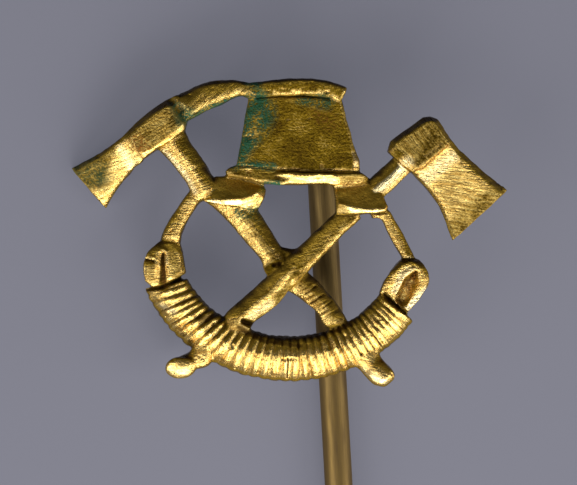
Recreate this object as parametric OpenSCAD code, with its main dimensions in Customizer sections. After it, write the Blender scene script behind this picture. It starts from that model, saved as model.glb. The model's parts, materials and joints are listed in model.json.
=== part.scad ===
// Firefighters' stick pin: a pierced cast emblem with a plain wire needle soldered behind it.
// The emblem shows a pick-axe crossed by an axe, a helmet above them and a ribbed hose below.
// Emblem shapes are drawn on its flat back: x to the right, y up to the helmet, z out of the
// back, with zero where the two handles cross. The finished pin lies face up: the needle rests
// along the floor and the corner of the pick-axe's blade leans on it.

/* [Axes] */
// Height of the two axe heads' square blocks over the emblem's back
block_h = 1.3; // [1.1:0.05:1.5]
// Height of the blades at their cutting edges
edge_h = 0.5; // [0.4:0.05:0.7]
// Height of the pick that curves over the helmet
pick_h = 1.35; // [1.1:0.05:1.5]
// Height of the pick-axe's handle, which passes below the axe's handle
low_handle_h = 1.0; // [0.8:0.05:1.1]
// Height of the axe's handle, which lies on top at the crossing
high_handle_h = 1.3; // [1.2:0.05:1.5]

/* [Helmet] */
// Height of the middle of the crown
crown_h = 1.1; // [0.9:0.05:1.2]
// Height of the brim's rounded edge
brim_h = 1.5; // [1.3:0.05:1.6]
// Height of the two peaks at their lower lips
peak_h = 1.6; // [1.4:0.05:1.7]

/* [Hose] */
// Radius of the hose's bend along its middle
hose_r = 5.65; // [5.5:0.05:5.8]
// Width of the hose in the middle of the bend
hose_w = 1.95; // [1.8:0.05:2.1]
// Width of the hose at both ends
hose_end_w = 1.85; // [1.6:0.05:1.9]
// Height of the hose over the emblem's back
hose_h = 1.25; // [1.0:0.05:1.4]
// Number of ribs round the hose
rib_count = 32; // [26:1:36]
// Depth of the grooves between the ribs
rib_depth = 0.13; // [0.08:0.01:0.18]
// Height of the couplings at the hose's ends
coupling_h = 1.35; // [1.2:0.05:1.5]
// Height of the two nozzles above the couplings
nozzle_h = 1.0; // [0.8:0.05:1.1]

/* [Needle] */
// Diameter of the needle's wire
needle_d = 1.2; // [1.0:0.05:1.3]
// Length of the wire's straight stretch, from its bend to the root of the point
needle_l = 45; // [35:1:50]
// Length of the ground point
point_l = 4; // [3:0.5:6]
// Diameter of the blunt end of the point
point_d = 0.16; // [0.1:0.02:0.3]
// Radius of the bend that turns the wire to the emblem, along the wire's middle
bend_r = 1.1; // [1:0.05:1.2]
// Distance from the wire's middle to the emblem's back
standoff = 1.8; // [1.7:0.05:2.2]
// Angle between the needle and the emblem's upright line, as it was soldered
needle_lean = 3.25; // [0:0.25:5]

/* [Hidden] */

// Share of each shape's height that is upright wall, below its sloping or rounded top
wall_share = 0.6;
// Shares of a bar's width that stay flat on top: on the handles, the pick and the brim
handle_flat = 0.5;
pick_flat = 0.55;
brim_flat = 0.4;
// Sides of the posts that round the bars' joints, and width of the posts at plate corners
post_sides = 16;
corner_w = 0.16;
corner_sides = 8;

// Sections of the pick-axe's handle, from its head down: x, y, width, share of its height
pick_handle_top = [[-5.1, 5.4, 1.1, 1.1], [-4.65, 4.95, 1.15, 1.25], [-3.75, 3.55, 1.15, 1.35]];
pick_handle_low = [[-3.3, 3.45, 0.95, 1], [-1.95, 2.1, 1.05, 1], [0, 0, 1.0, 0.9],
    [1.1, -1.1, 0.9, 1.05], [1.95, -2.15, 0.85, 1.15]];
// Sections of the axe's handle, from its head down: x, y, width, share of its height
axe_handle = [[4.9, 4.85, 0.95, 0.85], [4.15, 4.1, 0.95, 0.9], [1.35, 1.35, 0.85, 0.85],
    [0.7, 0.75, 0.85, 0.95], [0, 0.1, 0.95, 1], [-1.25, -0.9, 1.15, 1], [-2.0, -1.65, 1.15, 1]];
// Butts of the two handles, coming out below the hose: x, y, width, height in mm
left_butt = [[-3.8, -3.4, 1.1, 0.9], [-4.3, -3.8, 0.85, 0.95]];
right_butt = [[3.1, -3.45, 0.8, 0.9], [3.6, -4.0, 0.75, 0.95]];
left_knob = [[-4.55, -4.0, 0.9, 1.15], [-5.0, -4.1, 0.85, 1.05]];
right_knob = [[3.6, -4.35, 0.9, 1.05], [3.85, -4.25, 0.9, 1.15]];

// Sections of the pick, from its root to its tip: x, y, width, share of its height
pick = [[-4.4, 7.15, 1.4, 0.95], [-3.7, 7.35, 1.25, 1], [-2.85, 7.6, 0.95, 1],
    [-2.0, 7.65, 0.75, 1], [-1.25, 7.7, 0.7, 1], [-0.5, 7.8, 0.7, 1], [0.35, 7.9, 0.68, 1],
    [1.2, 7.8, 0.7, 1], [1.85, 7.65, 0.75, 1], [2.1, 7.45, 0.65, 0.9]];

// The pick-axe's head: outline of its block, and that of the block's face
pick_block = [[-7.05, 5.8], [-6.45, 6.55], [-5.6, 7.2], [-5.1, 7.5], [-4.3, 7.85],
    [-4.4, 6.15], [-5.15, 5.5], [-5.7, 5.1]];
pick_block_face = [[-6.85, 5.7], [-5.35, 6.95], [-4.5, 6.35], [-6.4, 5.15]];
// Its blade in strips across, from the block to the cutting edge: upper end, lower end, height
pick_blade = [[[-6.9, 5.75], [-5.65, 5.1], 1.2], [[-7.65, 5.4], [-6.6, 4.45], 0.95],
    [[-8.5, 4.95], [-7.6, 3.45], 0.7], [[-9.3, 4.5], [-7.95, 2.95], edge_h]];

// The axe's head: outline of its block, and that of the block's face
axe_block = [[4.2, 5.15], [4.35, 5.5], [5.75, 6.55], [6.1, 6.45], [6.95, 5.4],
    [5.35, 4.25], [5.1, 4.05], [4.55, 4.5]];
axe_block_face = [[4.4, 5.3], [5.85, 6.35], [6.65, 5.4], [5.25, 4.45]];
// Its blade in strips across, from the block to the cutting edge: upper end, lower end, height
axe_blade = [[[6.85, 5.4], [5.15, 4.15], 1.2], [[7.7, 4.6], [6.1, 3.05], 0.95],
    [[8.35, 4.0], [6.55, 2.1], 0.7], [[8.9, 3.55], [6.85, 1.5], edge_h]];
// How far both cutting edges bow out between their corners
edge_bow = 0.12;

// Helmet: outline of the crown, and the outline of its higher middle
crown = [[-1.8, 7.5], [2.05, 7.5], [2.5, 6.15], [2.85, 4.8], [2.85, 4.2], [-2.4, 4.3], [-2.15, 5.85]];
crown_face = [[-1.6, 7.3], [1.9, 7.3], [2.35, 6.1], [2.65, 4.8], [2.6, 4.2], [-2.2, 4.3], [-1.95, 5.85]];
// Sections of the brim, from left to right: x, y, width, share of its height
brim = [[-2.65, 4.25, 0.45, 0.85], [-2.0, 4.3, 0.5, 0.95], [-0.95, 4.05, 0.6, 1],
    [0.35, 4.0, 0.6, 1], [1.6, 3.9, 0.6, 1], [2.45, 3.95, 0.6, 1], [3.1, 4.0, 0.35, 0.85]];
// Outlines of the two peaks, and the lip that each rises to: x, y, share of its height
left_peak = [[-3.7, 3.0], [-3.2, 3.75], [-3.25, 4.05], [-2.55, 4.25], [-1.15, 3.6],
    [-1.25, 2.85], [-1.5, 2.65], [-2.55, 2.85]];
left_lip = [[-3.5, 3.1, 0.85], [-2.1, 3.15, 1], [-1.35, 3.4, 1]];
right_peak = [[1.85, 3.6], [1.9, 2.45], [3.85, 2.5], [4.05, 2.7], [3.6, 3.45], [3.45, 4.0], [2.25, 3.85]];
right_lip = [[1.98, 3.05, 0.95], [2.5, 2.7, 1], [3.85, 2.62, 0.85]];
// Height of the peaks where they leave the brim
peak_root_h = 0.9;

// Centre of the hose's bend, and the angles at which its left and right ends lie
hose_centre = [-0.15, 1.95];
hose_left = -154.5;
hose_right = -38;
// How much farther from that centre the ends lie than the middle
hose_spread = 0.12;
// How far round the bend the outer end of each rib lags behind its inner end, in degrees
rib_lag = 2;
// Rings for each rib and steps across each ring
rib_rings = 3;
ring_steps = 10;
// Height of the hose's upright sides, below its round top
hose_side_h = 0.35;

// Outlines of the two couplings, and the slot between the two cheeks of each: x, y
left_coupling = [[-5.6, 1.4], [-6.1, 0.75], [-6.2, 0], [-6.05, -0.7], [-4.55, -0.2], [-4.6, 0.6],
    [-4.85, 1.4]];
left_slot = [[-5.5, 0.85], [-5.45, -0.6]];
left_slot_w = 0.26;
right_coupling = [[4.45, 0.1], [5.0, 0.5], [5.6, 0.2], [5.85, -0.6], [4.95, -1.6], [4.1, -0.85]];
right_slot = [[5.25, -0.15], [4.65, -1.15]];
right_slot_w = 0.42;
// Depth of the slots, and width of the sloping edge round each coupling's face
slot_depth = 0.5;
cheek_bevel = 0.22;
// The hose's plain core, from its ribbed ends into the couplings: x, y, width, height in mm
left_core = [[-5.4, -0.85, 1.4, 0.95], [-5.35, 0, 1.1, 0.9]];
right_core = [[4.5, -1.7, 1.25, 0.95], [4.85, -1.0, 1.0, 0.9]];
// Sections of the two nozzles, from their tips to the couplings: x, y, width, share of height
left_nozzle = [[-4.05, 3.15, 0.5, 1.1], [-4.6, 2.4, 0.55, 0.95], [-5.15, 1.35, 0.72, 1]];
right_nozzle = [[4.0, 2.5, 0.45, 0.95], [4.5, 1.5, 0.5, 0.95], [4.95, 0.5, 0.65, 1]];

// Where the needle's line meets the crossing's level, and the y of the wire's foot on it
needle_x = 1.5;
foot_y = 5.6;
// The soldered collar that holds the wire's foot: width, height and clearance round the wire
collar_d = 2.1;
collar_h = 0.55;
foot_gap = 0.04;

// The pin rolls to the left about the needle until the pick-axe blade's corner is as low
corner = pick_blade[3][0];
function from_needle(place) =
    (place.x - needle_x) * cos(needle_lean) + place.y * sin(needle_lean);
corner_x = from_needle(corner) - corner_w / 2;
roll = atan2(standoff, -corner_x) + asin(needle_d / 2 / norm([corner_x, standoff]));
// Zero lies on the floor below the middle of the lying pin: its reach left, right, up and down
reach_left = corner_x * cos(roll) - standoff * sin(roll);
reach_right = (from_needle(axe_blade[3][0]) + corner_w / 2) * cos(roll) - standoff * sin(roll);
head_top = pick[6].y + pick[6][2] / 2;
bend_y = foot_y / cos(needle_lean) - bend_r;
tip_y = bend_y - needle_l - point_l;
middle = [-(reach_left + reach_right) / 2, -(head_top + tip_y) / 2, needle_d / 2];

// A round post at one section of a bar: upright to its wall, then sloping to a flat top
module post(section, height, flat) {
    top = section[3] * height;
    translate([section.x, section.y, 0]) {
        cylinder(d = section[2], h = wall_share * top, $fn = post_sides);
        cylinder(d = flat * section[2], h = top, $fn = post_sides);
    }
}

// A bar that runs through a table of sections
module bar(sections, height, flat) {
    for (i = [0 : len(sections) - 2])
        hull() {
            post(sections[i], height, flat);
            post(sections[i + 1], height, flat);
        }
}

// A slim post at the corner of a plate
module corner_post(place, height) {
    translate([place.x, place.y, 0])
        cylinder(d = corner_w, h = height, $fn = corner_sides);
}

// A bevelled block between an outline on the back and the smaller outline of its face
module block(outline, face, height) {
    hull() {
        linear_extrude(wall_share * height) polygon(outline);
        linear_extrude(height) polygon(face);
    }
}

// The middle of a blade's cutting edge, bowed out from the line between its two corners
function bowed(edge, inner) = let (
        mid = (edge[0] + edge[1]) / 2,
        out = mid - (inner[0] + inner[1]) / 2)
    mid + edge_bow * out / norm(out);

// A blade that thins from its block to its cutting edge
module blade(strips) {
    last = len(strips) - 1;
    for (i = [1 : last])
        hull() {
            for (strip = [strips[i - 1], strips[i]])
                for (end = [0, 1])
                    corner_post(strip[end], strip[2]);
            if (i == last)
                corner_post(bowed(strips[last], strips[last - 1]), edge_h);
        }
}

// A peak that rises from the brim to its lower lip
module peak(outline, lip) {
    hull() {
        linear_extrude(peak_root_h) polygon(outline);
        for (place = lip)
            corner_post(place, place[2] * peak_h);
    }
}

module pick_axe() {
    block(pick_block, pick_block_face, block_h);
    blade(pick_blade);
    bar(pick, pick_h, pick_flat);
    bar(pick_handle_top, low_handle_h, handle_flat);
    bar(pick_handle_low, low_handle_h, handle_flat);
}

module axe() {
    block(axe_block, axe_block_face, block_h);
    blade(axe_blade);
    bar(axe_handle, high_handle_h, handle_flat);
}

module helmet() {
    block(crown, crown_face, crown_h);
    bar(brim, brim_h, brim_flat);
    peak(left_peak, left_lip);
    peak(right_peak, right_lip);
}

// Width of the hose at a share of the way along it: it swells from both ends to the middle
function hose_width(share) = hose_end_w + (hose_w - hose_end_w) * sin(180 * share);

// One ring of the hose, at a share of the way along it, drawn in by a groove
function hose_ring(share, groove) = let (
        half = hose_width(share) / 2 - groove,
        crest = hose_h - hose_side_h - groove,
        middle_r = hose_r + hose_spread * pow(cos(180 * share), 2),
        angle = hose_right + (hose_left - hose_right) * share)
    [for (step = [-1 : ring_steps + 1])
        let (turn = 180 * min(max(step / ring_steps, 0), 1),
            out = middle_r + half * cos(turn),
            at = angle - rib_lag / 2 * cos(turn))
        [hose_centre.x + out * cos(at),
            hose_centre.y + out * sin(at),
            step < 0 || step > ring_steps ? 0 : hose_side_h + crest * sin(turn)]];

// The hose: a half-round band swept round the bend, with a groove between each two ribs
module hose() {
    last = rib_count * rib_rings;
    rings = [for (i = [0 : last]) hose_ring(i / last, i % rib_rings == 0 ? rib_depth : 0)];
    sides = len(rings[0]);
    polyhedron(
        points = [for (ring = rings) each ring],
        faces = [
            [for (j = [0 : sides - 1]) j],
            [for (j = [sides - 1 : -1 : 0]) last * sides + j],
            for (i = [0 : last - 1])
                for (j = [0 : sides - 1])
                    let (k = (j + 1) % sides)
                        each [[i * sides + j, (i + 1) * sides + j, (i + 1) * sides + k],
                            [i * sides + j, (i + 1) * sides + k, i * sides + k]]]);
}

// A coupling: a bevelled block with a slot between its two cheeks
module coupling(outline, slot, slot_w) {
    difference() {
        hull() {
            linear_extrude(wall_share * coupling_h) polygon(outline);
            linear_extrude(coupling_h) offset(delta = -cheek_bevel) polygon(outline);
        }
        hull()
            for (place = slot)
                translate([place.x, place.y, coupling_h - slot_depth])
                    cylinder(d = slot_w, h = coupling_h, $fn = post_sides);
    }
}

// The rounded butt of a handle, below the hose
module butt(neck, knob) {
    bar(neck, 1, handle_flat);
    bar(knob, 1, handle_flat);
}

// The collar that the wire's foot is soldered into: its lower half stands on the emblem's back
module collar() {
    translate([needle_x - foot_y * tan(needle_lean), foot_y, -collar_h])
        difference() {
            cylinder(d = collar_d, h = 2 * collar_h, $fn = 32);
            translate([0, 0, -collar_h])
                cylinder(d = needle_d + 2 * foot_gap, h = 2 * collar_h, $fn = 32);
        }
}

// Places what is drawn on the emblem's back onto the needle's line, rolled as it lies
module lying() {
    translate(middle)
        rotate([0, -roll, 0])
            children();
}

module emblem() {
    color("goldenrod")
        lying()
            translate([0, 0, standoff])
                rotate([0, 0, -needle_lean])
                    translate([-needle_x, 0, 0]) {
                        pick_axe();
                        axe();
                        helmet();
                        hose();
                        coupling(left_coupling, left_slot, left_slot_w);
                        coupling(right_coupling, right_slot, right_slot_w);
                        bar(left_core, 1, handle_flat);
                        bar(right_core, 1, handle_flat);
                        bar(left_nozzle, nozzle_h, handle_flat);
                        bar(right_nozzle, nozzle_h, handle_flat);
                        butt(left_butt, left_knob);
                        butt(right_butt, right_knob);
                        collar();
                    }
}

// The wire: its foot in the collar, a bend, the straight stretch and the ground point
module needle() {
    color("darkgoldenrod")
        lying() {
            translate([0, bend_y + bend_r, bend_r])
                cylinder(d = needle_d, h = standoff - bend_r - foot_gap, $fn = 48);
            translate([0, bend_y, bend_r])
                rotate([0, 90, 0])
                    rotate_extrude(angle = 90, $fn = 48)
                        translate([bend_r, 0])
                            circle(d = needle_d, $fn = 48);
            translate([0, bend_y, 0])
                rotate([90, 0, 0]) {
                    cylinder(d = needle_d, h = needle_l, $fn = 48);
                    translate([0, 0, needle_l])
                        cylinder(d1 = needle_d, d2 = point_d, h = point_l, $fn = 48);
                }
        }
}

emblem();
needle();
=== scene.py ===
import json
import random
from math import atan2, cos, hypot, pi, radians, sin, tan

import bmesh
import bpy
import numpy as np
from mathutils import Matrix, Vector, noise
from mathutils.bvhtree import BVHTree


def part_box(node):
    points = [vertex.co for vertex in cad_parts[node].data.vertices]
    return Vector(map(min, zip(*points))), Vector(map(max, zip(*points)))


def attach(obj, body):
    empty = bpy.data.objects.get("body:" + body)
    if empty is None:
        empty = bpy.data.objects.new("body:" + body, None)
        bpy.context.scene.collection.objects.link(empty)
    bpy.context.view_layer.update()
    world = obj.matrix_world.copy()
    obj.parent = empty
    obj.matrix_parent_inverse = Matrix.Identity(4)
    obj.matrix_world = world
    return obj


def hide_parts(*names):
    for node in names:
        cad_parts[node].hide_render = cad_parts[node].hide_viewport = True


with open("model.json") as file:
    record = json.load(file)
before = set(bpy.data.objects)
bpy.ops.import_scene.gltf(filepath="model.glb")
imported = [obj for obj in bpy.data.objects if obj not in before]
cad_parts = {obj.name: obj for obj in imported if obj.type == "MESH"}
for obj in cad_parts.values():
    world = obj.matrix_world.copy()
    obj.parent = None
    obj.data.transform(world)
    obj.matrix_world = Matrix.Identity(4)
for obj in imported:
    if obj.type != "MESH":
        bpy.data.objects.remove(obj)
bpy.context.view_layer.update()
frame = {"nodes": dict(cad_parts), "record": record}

# Where the emblem lies. The pin rests face up on the floor, on its needle and on one corner of the
# pick-axe's blade, so the emblem's plane is rolled to the left about the needle. The emblem is drawn
# in millimetres on its flat back, from the point where its two handles cross.
MM = 0.001
wire_d = 1.2
standoff = 1.8
needle_lean = radians(3.25)
needle_x = 1.5
foot_y = 5.6
corner_x = -9.3
corner_y = 4.5
corner_r = 0.08
corner_reach = (corner_x - needle_x) * cos(needle_lean) + corner_y * sin(needle_lean) - corner_r
roll = atan2(standoff, -corner_reach) + atan2(wire_d / 2, hypot(corner_reach, standoff))

pin_mount = next(m for m in frame["record"]["mounts"] if m["name"] == "needle_shank")
wire_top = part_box("needle")[1].y / MM
middle = Vector((
    pin_mount["pos_m"][0] / MM,
    wire_top - wire_d / 2 - foot_y / cos(needle_lean),
    wire_d / 2,
))
lying = Matrix.Scale(MM, 4) @ Matrix.Translation(middle) @ Matrix.Rotation(-roll, 4, "Y")
emblem_place = (
    lying
    @ Matrix.Translation((0, 0, standoff))
    @ Matrix.Rotation(-needle_lean, 4, "Z")
    @ Matrix.Translation((-needle_x, 0, 0))
)

# The camera looks square on to the emblem's face, as the photograph does, through a long lens. The
# face lies tilted on the floor, so the camera leans by the same angle.
lens_mm = 200
sensor_mm = 36
seen_width = 24.43
seen_middle = (-0.148, 1.249)
face_height = 1.2
camera_far = seen_width * lens_mm / sensor_mm

camera_data = bpy.data.cameras.new("camera")
camera_data.lens = lens_mm
camera_data.sensor_width = sensor_mm
camera_data.clip_start = 0.005
camera_data.clip_end = 10
camera = bpy.data.objects.new("camera", camera_data)
eye = emblem_place @ Vector((*seen_middle, face_height + camera_far))
camera.matrix_world = Matrix.Translation(eye) @ emblem_place.to_quaternion().to_matrix().to_4x4()
bpy.context.scene.collection.objects.link(camera)
bpy.context.scene.camera = camera

# The floor is a plain pale board, and the light is an arc of three soft panels standing low in front
# of the pin, with a dim room round it, so that only what slopes down towards the front shines.
floor_half = 1.5
floor_mesh = bpy.data.meshes.new("floor")
floor_bm = bmesh.new()
bmesh.ops.create_grid(floor_bm, x_segments=4, y_segments=4, size=floor_half)
floor_bm.to_mesh(floor_mesh)
floor_bm.free()
floor = bpy.data.objects.new("floor", floor_mesh)
bpy.context.scene.collection.objects.link(floor)

board = bpy.data.materials.new("pale board")
board.use_nodes = True
board_shader = board.node_tree.nodes["Principled BSDF"]
board_shader.inputs["Base Color"].default_value = (0.11, 0.11, 0.134, 1)
board_shader.inputs["Emission Color"].default_value = (0.88, 0.9, 1.12, 1)
board_shader.inputs["Emission Strength"].default_value = 0.115
board_shader.inputs["Roughness"].default_value = 0.9
board_shader.inputs["Specular IOR Level"].default_value = 0.1
floor_mesh.materials.append(board)

look_at = emblem_place @ Vector((0, 1.5, 0))
panel_reach = Vector((0, -0.15, 0.08))
panel_width = 0.13
panel_height = 0.1
watts_by_turn = {-62: 0.2, 0: 0.29, 62: 0.17}

for turn, watts in watts_by_turn.items():
    panel_data = bpy.data.lights.new("panel", "AREA")
    panel_data.shape = "RECTANGLE"
    panel_data.size = panel_width
    panel_data.size_y = panel_height
    panel_data.energy = watts
    panel_data.color = (1, 0.98, 0.95)
    panel = bpy.data.objects.new("panel", panel_data)
    away = Matrix.Rotation(radians(turn), 4, "Z") @ panel_reach
    facing_pin = away.to_track_quat("Z", "Y").to_matrix().to_4x4()
    panel.matrix_world = Matrix.Translation(look_at + away) @ facing_pin
    panel.visible_camera = False
    bpy.context.scene.collection.objects.link(panel)

room = bpy.data.worlds.new("room")
room.use_nodes = True
room_light = room.node_tree.nodes["Background"]
room_light.inputs["Color"].default_value = (0.9, 0.93, 1, 1)
room_light.inputs["Strength"].default_value = 0.1
bpy.context.scene.world = room
bpy.context.scene.view_settings.view_transform = "Standard"

# The pick-axe: one arm of the cross. Its handle, square block, blade and long curved pick are cast
# in brass together with everything else, as a low relief on a flat back, and dressed with a file.
casting = bmesh.new()
form_finish = []

# Sections of the bars: the place across a width of 1, from left to right, and the fall from the ridge.
# Each starts and ends with an upright side that runs down past the emblem's back.
past_back = 9
rounded = [(-0.5, past_back), (-0.5, 0.4), (-0.46, 0.22), (-0.36, 0.08), (-0.2, 0.01), (0, 0), (0.2, 0.05),
           (0.36, 0.14), (0.45, 0.25), (0.5, 0.42), (0.5, past_back)]
roofed = [(-0.5, past_back), (-0.5, 0.62), (-0.44, 0.42), (-0.34, 0.26), (-0.2, 0.12), (-0.06, 0.01),
          (0.04, 0), (0.2, 0.09), (0.34, 0.17), (0.47, 0.25), (0.5, 0.33), (0.5, past_back)]
edged = [(-0.5, past_back), (-0.5, 0.6), (-0.44, 0.4), (-0.34, 0.24), (-0.12, 0.11), (0.1, 0.03), (0.24, 0),
         (0.34, 0.04), (0.44, 0.11), (0.5, 0.26), (0.5, past_back)]
lipped = [(-0.5, past_back), (-0.5, 0.4), (-0.42, 0.18), (-0.32, 0.06), (-0.24, 0.02), (-0.05, 0.1),
          (0.18, 0.22), (0.38, 0.33), (0.47, 0.42), (0.5, 0.6), (0.5, past_back)]
worn_round = [(-0.5, past_back), (-0.5, 0.45), (-0.43, 0.22), (-0.34, 0.08), (-0.24, 0.02), (-0.12, 0),
              (0.08, 0.05), (0.28, 0.12), (0.42, 0.2), (0.5, 0.34), (0.5, past_back)]
ground = [(-0.5, past_back), (-0.5, 0.24), (-0.39, 0.04), (-0.3, 0), (0, 0), (0.36, 0.02), (0.45, 0.07),
          (0.5, 0.15), (0.5, past_back)]


def curved(rows, steps):
    """The rows of numbers with more between them, on a smooth curve through them all."""
    rows = [np.array(row, float) for row in rows]
    rows = [2 * rows[0] - rows[1], *rows, 2 * rows[-1] - rows[-2]]
    out = []
    for before, start, end, after in zip(rows, rows[1:], rows[2:], rows[3:]):
        for step in range(steps):
            t = step / steps
            out.append(0.5 * (
                2 * start + (end - before) * t
                + (2 * before - 5 * start + 4 * end - after) * t ** 2
                + (3 * start - before - 3 * end + after) * t ** 3
            ))
    return [*out, rows[-2]]


def cut_place(left_x, left_y, right_x, right_y, height):
    """Carries a section, drawn as x and fall from its ridge for a width of 1, to one cut of a bar."""
    across = Vector((right_x - left_x, right_y - left_y))
    along = Vector((-across.y, across.x)).normalized()
    return Matrix((
        (across.x, along.x, 0, (left_x + right_x) / 2),
        (across.y, along.y, 0, (left_y + right_y) / 2),
        (0, 0, -across.length, height),
        (0, 0, 0, 1),
    ))


def bar(cuts, section, steps=4):
    """A bar drawn out through cuts across it, each the x, y of its left end, of its right end, and the
    height of its ridge. It is cut off flat at the emblem's back."""
    cuts = curved(cuts, steps)
    shape = bmesh.new()
    face = shape.faces.new([shape.verts.new((x, 0, fall)) for x, fall in section])
    place = cut_place(*cuts[0])
    bmesh.ops.transform(shape, matrix=place, verts=face.verts)
    for cut in cuts[1:]:
        grown = bmesh.ops.extrude_face_region(shape, geom=[face])["geom"]
        face = next(part for part in grown if isinstance(part, bmesh.types.BMFace))
        to = cut_place(*cut)
        bmesh.ops.transform(shape, matrix=to @ place.inverted(), verts=face.verts)
        place = to
    for corner in shape.verts:
        corner.co.z = max(corner.co.z, 0)
    return shape


def plate(corners):
    """A plate with upright sides and bevels. Each corner is x, y on the outline, then x, y and height
    on top, and the fall of the bevel between them."""
    shape = bmesh.new()
    face = shape.faces.new([shape.verts.new((x, y, 0)) for x, y, *_ in corners])
    for inset in (False, True):
        grown = bmesh.ops.extrude_face_region(shape, geom=[face])["geom"]
        face = next(part for part in grown if isinstance(part, bmesh.types.BMFace))
        for corner, (x, y, top_x, top_y, top, fall) in zip(face.verts, corners):
            corner.co = (top_x, top_y, top) if inset else (x, y, top - fall)
    return shape


def add_form(shape, strokes=0.0, cut=0.02, film=0.2):
    """Joins a closed form to the casting: the way its file marks run in degrees, their depth in mm,
    and how much of the dark film it has kept."""
    bmesh.ops.recalc_face_normals(shape, faces=shape.faces)
    bmesh.ops.triangulate(shape, faces=shape.faces)
    form_finish.extend([(strokes, cut, film)] * len(shape.faces))
    carrier = bpy.data.meshes.new("form")
    shape.to_mesh(carrier)
    casting.from_mesh(carrier)
    bpy.data.meshes.remove(carrier)
    shape.free()


edge_h = 0.5
pick_handle_top = [
    [-4.62, 6.1, -5.8, 5.33, 1.1], [-4.32, 5.5, -5.33, 4.87, 1.2], [-3.98, 5.04, -4.91, 4.36, 1.25],
    [-3.68, 4.61, -4.53, 3.85, 1.3], [-3.43, 4.15, -4.32, 3.47, 1.35], [-3.13, 3.77, -4.11, 3.01, 1.4],
    [-3.07, 3.6, -3.92, 2.94, 1.1],
]
pick_handle_low = [
    [-2.2, 3.7, -3.62, 2.94, 0.95], [-1.85, 3.24, -3.22, 2.63, 1.0], [-1.35, 2.48, -2.54, 1.95, 1.0],
    [-0.87, 1.74, -1.95, 1.23, 1.0], [-0.42, 1.02, -1.35, 0.55, 1.0], [0.13, 0.42, -1.02, -0.21, 0.9],
    [0.96, -0.26, 0.0, -0.89, 0.95], [1.48, -0.84, 0.59, -1.31, 1.0], [1.94, -1.42, 1.1, -1.78, 1.05],
    [2.29, -1.95, 1.4, -2.24, 1.15], [2.35, -2.15, 1.65, -2.4, 0.9],
]
pick_root = [
    [-4.75, 7.6, -4.6, 6.4, 1.25], [-4.32, 7.79, -4.32, 6.48, 1.3], [-3.77, 8.04, -3.64, 6.86, 1.35],
    [-3.13, 8.15, -2.96, 7.15, 1.35], [-2.41, 8.13, -2.29, 7.47, 1.35], [-1.78, 8.02, -1.69, 7.41, 1.33],
    [-1.4, 8.05, -1.3, 7.41, 1.2],
]
pick_tip = [
    [-2.1, 8.06, -2.0, 7.42, 1.2], [-1.78, 8.02, -1.69, 7.41, 1.34], [-0.93, 8.13, -0.85, 7.41, 1.37],
    [-0.08, 8.21, -0.08, 7.47, 1.38], [0.55, 8.21, 0.55, 7.54, 1.38], [1.19, 8.15, 1.1, 7.49, 1.38],
    [1.78, 8.04, 1.61, 7.37, 1.37], [2.36, 7.8, 2.02, 7.16, 1.32],
]
pick_block = [
    [-7.24, 5.67, -6.99, 5.63, 1.4, 0.3], [-6.69, 6.27, -6.52, 6.1, 1.4, 0.5],
    [-6.01, 6.86, -5.88, 6.65, 1.4, 0.55], [-5.33, 7.32, -5.25, 7.03, 1.4, 0.6],
    [-4.83, 7.54, -5.04, 6.99, 1.38, 0.4], [-4.45, 6.39, -4.57, 6.35, 1.4, 0.25],
    [-4.57, 5.97, -4.76, 6.14, 1.42, 0.16], [-5.59, 5.29, -5.7, 5.44, 1.42, 0.1],
    [-6.1, 4.95, -6.12, 5.16, 1.42, 0.12], [-6.52, 4.6, -6.42, 5.04, 1.42, 0.25],
    [-6.75, 5.0, -6.66, 5.3, 1.42, 0.12],
]
pick_blade = [
    [-6.9, 5.92, -6.3, 4.72, 1.45], [-7.03, 5.84, -6.42, 4.62, 1.38], [-7.4, 5.58, -6.65, 4.48, 1.2],
    [-7.72, 5.36, -6.85, 4.24, 1.06], [-8.13, 5.08, -7.2, 3.85, 0.94], [-8.68, 4.78, -7.49, 3.47, 0.79],
    [-9.44, 4.43, -7.94, 2.7, edge_h],
]

add_form(bar(pick_handle_top, roofed), strokes=18, cut=0.03, film=0.05)
add_form(bar(pick_handle_low, roofed), strokes=25, cut=0.025, film=0.7)
add_form(bar(pick_root, edged), strokes=45, cut=0.035, film=0.6)
add_form(bar(pick_tip, worn_round), strokes=75, cut=0.03, film=0.96)
add_form(bar(pick_blade, ground), strokes=17, cut=0.02, film=0.15)
add_form(plate(pick_block), strokes=30, cut=0.01, film=0.7)

# The axe: the other arm of the cross, whose handle lies over the pick-axe's. It is cast and filed
# with the rest of the emblem, and a thin web fills the upper corner of the cross, dark with film and painted
# shade.
axe_handle_low = [
    [-3.12, -2.15, -2.1, -2.85, 0.9], [-2.9, -1.92, -1.85, -2.55, 1.2], [-2.64, -1.6, -1.62, -2.13, 1.25],
    [-2.05, -1.1, -1.15, -1.8, 1.25], [-1.44, -0.55, -0.55, -1.31, 1.3], [-0.85, 0.0, -0.08, -0.72, 1.3],
    [-0.21, 0.64, 0.51, -0.17, 1.3],
]
axe_handle_middle = [
    [-0.85, 0.0, -0.08, -0.72, 1.2], [-0.21, 0.64, 0.51, -0.17, 1.3], [0.34, 1.1, 1.02, 0.38, 1.28],
    [0.97, 1.69, 1.61, 0.97, 1.25], [1.61, 2.29, 2.24, 1.65, 1.2], [2.24, 2.84, 2.96, 2.29, 1.15],
]
axe_handle_top = [
    [3.13, 3.81, 3.85, 3.13, 1.15], [3.6, 4.23, 4.32, 3.56, 1.2], [4.11, 4.66, 4.83, 4.06, 1.2],
    [4.66, 5.17, 5.33, 4.61, 1.2],
]
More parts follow.
